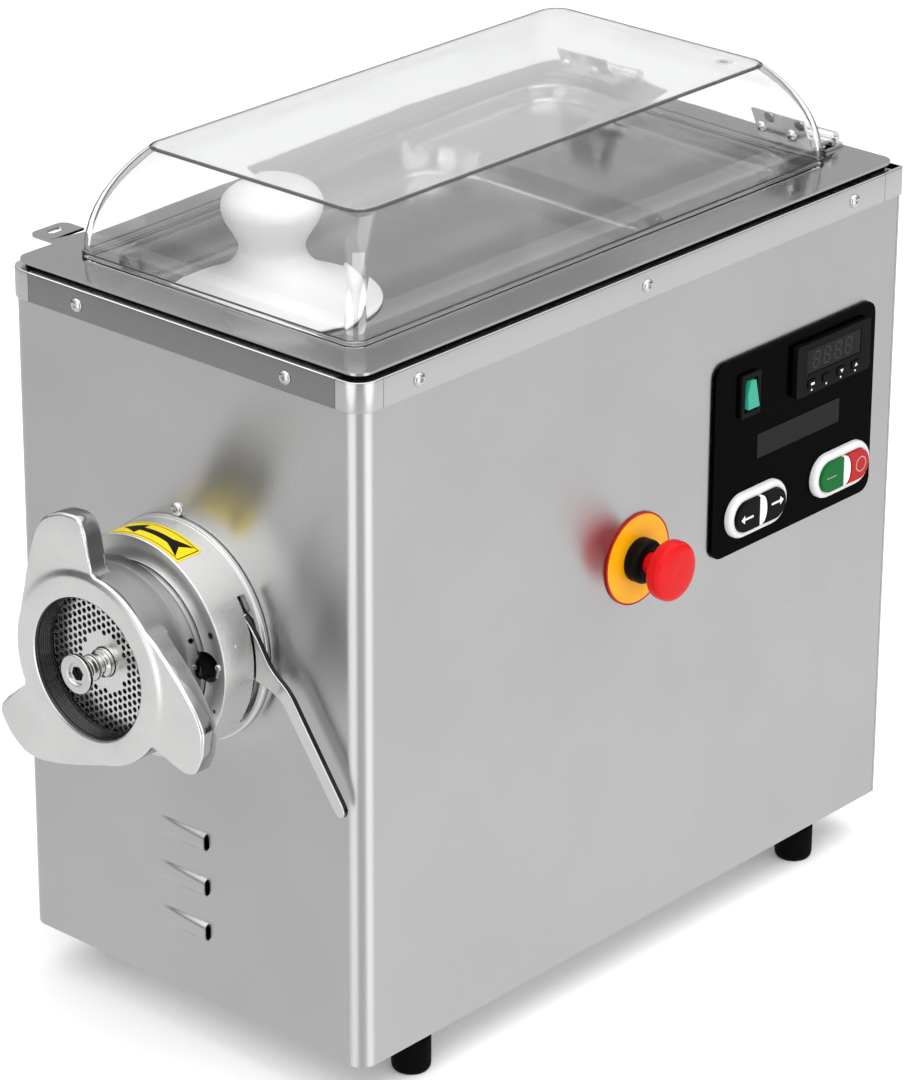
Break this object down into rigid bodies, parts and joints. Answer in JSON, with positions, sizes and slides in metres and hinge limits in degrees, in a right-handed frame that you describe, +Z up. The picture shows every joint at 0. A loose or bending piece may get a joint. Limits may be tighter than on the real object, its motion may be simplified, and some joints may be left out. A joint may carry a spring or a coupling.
{
  "type": "electric meat grinder",
  "caption": "Counter-top refrigerated meat mincer: steel cabinet, side controls, front mincing head with winged nut, feed tray under a hinged clear lid",
  "frame": {"origin": "middle of the whole object's box, on the surface that the feet stand on", "axes": "+Z up; the mincing head points along -Y; the controls face +X"},
  "size_m": [0.344, 0.613, 0.5475],
  "materials": {
    "stainless": "satin brushed stainless sheet",
    "cast_steel": "blasted and tumbled stainless casting",
    "polished_steel": "mirror-polished stainless",
    "clear_plastic": "clear thermoformed polycarbonate",
    "white_plastic": "satin food-grade polyethylene",
    "black_rubber": "matt black rubber",
    "black_plastic": "black satin plastic",
    "green_plastic": "green button plastic",
    "red_plastic": "red button plastic",
    "yellow_plastic": "yellow label film",
    "dark_paint": "black enamel",
    "aluminium": "cast and finned aluminium",
    "copper": "copper tube"
  },
  "bodies": {
    "cabinet": {"cabinet_shell": "stainless", "rear_panel": "stainless", "base_plate": "stainless", "band_front": "stainless", "band_left": "stainless", "band_right": "stainless", "band_rear": "stainless", "band_corner_left": "stainless", "band_corner_right": "stainless", "tray_top": "stainless", "foot_front_left": "black_rubber", "foot_front_right": "black_rubber", "foot_rear_left": "black_rubber", "foot_rear_right": "black_rubber", "top_gasket": "black_rubber", "hinge_base_left": "polished_steel", "hinge_base_right": "polished_steel", "feed_throat": "polished_steel", "barrel": "polished_steel", "hole_plate": "polished_steel", "direction_bezel": "white_plastic", "start_stop_bezel": "white_plastic", "head_collar": "cast_steel", "gearbox_housing": "aluminium", "gearbox_cover": "aluminium", "motor": "aluminium", "condenser": "aluminium", "compressor": "dark_paint", "fan_motor": "dark_paint", "control_panel": "black_plastic", "rocker_frame": "black_plastic", "thermostat": "black_plastic", "estop_collar": "black_plastic", "cable_gland": "black_plastic", "estop_label": "yellow_plastic", "cooling_coil": "copper"},
    "lid": {"lid": "clear_plastic", "hinge_leaf_left": "polished_steel", "hinge_leaf_right": "polished_steel"},
    "pusher": {"pusher": "white_plastic"},
    "auger_drive": {"auger": "cast_steel", "knife": "cast_steel", "centre_stud": "polished_steel", "output_shaft": "cast_steel"},
    "motor_rotor": {"motor_shaft": "cast_steel"},
    "ring_nut": {"ring_nut": "cast_steel"},
    "lock_lever": {"lock_lever": "polished_steel"},
    "condenser_fan": {"condenser_fan": "black_plastic"},
    "rocker": {"rocker": "green_plastic"},
    "reverse_button": {"reverse_button": "black_plastic"},
    "forward_button": {"forward_button": "black_plastic"},
    "start_button": {"start_button": "green_plastic"},
    "stop_button": {"stop_button": "red_plastic"},
    "estop_stem": {"estop_stem": "red_plastic"},
    "estop_head": {"estop_head": "red_plastic"},
    "thermostat_key_1": {"thermostat_key_1": "black_plastic"},
    "thermostat_key_2": {"thermostat_key_2": "black_plastic"},
    "thermostat_key_3": {"thermostat_key_3": "black_plastic"},
    "thermostat_key_4": {"thermostat_key_4": "black_plastic"}
  },
  "joints": [
    {"name": "lid_hinge", "type": "hinge", "parent": "cabinet", "child": "lid", "pos_m": [-0.006, 0.2775, 0.4865], "axis": [-1, 0, 0], "range_deg": [0, 100]},
    {"name": "pusher_lift", "type": "slide", "parent": "cabinet", "child": "pusher", "axis": [0, 0, 1], "range_m": [0, 0.012]},
    {"name": "auger_turn", "type": "hinge", "parent": "cabinet", "child": "auger_drive", "pos_m": [-0.006, -0.2825, 0.2805], "axis": [0, 1, 0], "continuous": true},
    {"name": "motor_turn", "type": "hinge", "parent": "cabinet", "child": "motor_rotor", "pos_m": [-0.006, 0.0135, 0.22365], "axis": [0, 1, 0], "continuous": true},
    {"name": "ring_nut_turn", "type": "hinge", "parent": "cabinet", "child": "ring_nut", "pos_m": [-0.006, -0.2625, 0.2805], "axis": [0, -1, 0], "range_deg": [0, 360]},
    {"name": "lock_lever_turn", "type": "hinge", "parent": "cabinet", "child": "lock_lever", "pos_m": [-0.006, -0.2235, 0.2805], "axis": [0, 1, 0], "range_deg": [-8, 26]},
    {"name": "fan_turn", "type": "hinge", "parent": "cabinet", "child": "condenser_fan", "pos_m": [-0.006, 0.2355, 0.3175], "axis": [0, 1, 0], "continuous": true},
    {"name": "rocker_tip", "type": "hinge", "parent": "cabinet", "child": "rocker", "pos_m": [0.1373, 0.1375, 0.365], "axis": [0, 1, 0], "range_deg": [0, 14]},
    {"name": "reverse_press", "type": "slide", "parent": "cabinet", "child": "reverse_button", "axis": [-1, 0, 0], "range_m": [0, 0.0025], "stiffness_N_per_m": 600, "springref_m": -0.003},
    {"name": "forward_press", "type": "slide", "parent": "cabinet", "child": "forward_button", "axis": [-1, 0, 0], "range_m": [0, 0.0025], "stiffness_N_per_m": 600, "springref_m": -0.003},
    {"name": "start_press", "type": "slide", "parent": "cabinet", "child": "start_button", "axis": [-1, 0, 0], "range_m": [0, 0.0025], "stiffness_N_per_m": 600, "springref_m": -0.003},
    {"name": "stop_press", "type": "slide", "parent": "cabinet", "child": "stop_button", "axis": [-1, 0, 0], "range_m": [0, 0.0025], "stiffness_N_per_m": 600, "springref_m": -0.003},
    {"name": "key_1_press", "type": "slide", "parent": "cabinet", "child": "thermostat_key_1", "axis": [-1, 0, 0], "range_m": [0, 0.0008], "stiffness_N_per_m": 400, "springref_m": -0.001},
    {"name": "key_2_press", "type": "slide", "parent": "cabinet", "child": "thermostat_key_2", "axis": [-1, 0, 0], "range_m": [0, 0.0008], "stiffness_N_per_m": 400, "springref_m": -0.001},
    {"name": "key_3_press", "type": "slide", "parent": "cabinet", "child": "thermostat_key_3", "axis": [-1, 0, 0], "range_m": [0, 0.0008], "stiffness_N_per_m": 400, "springref_m": -0.001},
    {"name": "key_4_press", "type": "slide", "parent": "cabinet", "child": "thermostat_key_4", "axis": [-1, 0, 0], "range_m": [0, 0.0008], "stiffness_N_per_m": 400, "springref_m": -0.001},
    {"name": "estop_push", "type": "slide", "parent": "cabinet", "child": "estop_stem", "axis": [-1, 0, 0], "range_m": [0, 0.004]},
    {"name": "estop_twist", "type": "hinge", "parent": "estop_stem", "child": "estop_head", "pos_m": [0.171, 0.0335, 0.2865], "axis": [-1, 0, 0], "range_deg": [0, 30], "stiffness_Nm_per_rad": 0.05, "springref_deg": -11.46}
  ],
  "couplings": [
    {"joint": "motor_turn", "follows": "auger_turn", "ratio": -4}
  ]
}
